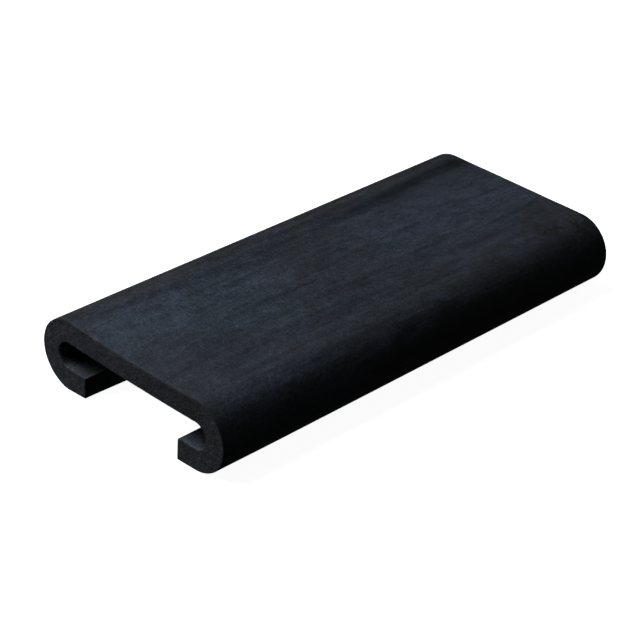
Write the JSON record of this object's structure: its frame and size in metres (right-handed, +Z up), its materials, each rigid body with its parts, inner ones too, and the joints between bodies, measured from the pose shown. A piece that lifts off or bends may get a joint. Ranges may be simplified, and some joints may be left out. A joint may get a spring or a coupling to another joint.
{
  "type": "rubber c-profile",
  "caption": "Short length of black rubber C-profile with a flat top, half-round sides and lips that curl in under it, to cover the edge of a flat bar or rail.",
  "frame": {"origin": "centre of the base: midway between the sides and between the two cut ends, at the height of the lips' underside", "axes": "+X across the profile, +Y along it from the near cut end to the far one, +Z up through the web's flat top face"},
  "size_m": [0.08, 0.172, 0.024],
  "materials": {
    "rubber": "matte, with a faint grey bloom"
  },
  "bodies": {
    "root": {"rubber_profile": "rubber"}
  },
  "joints": []
}
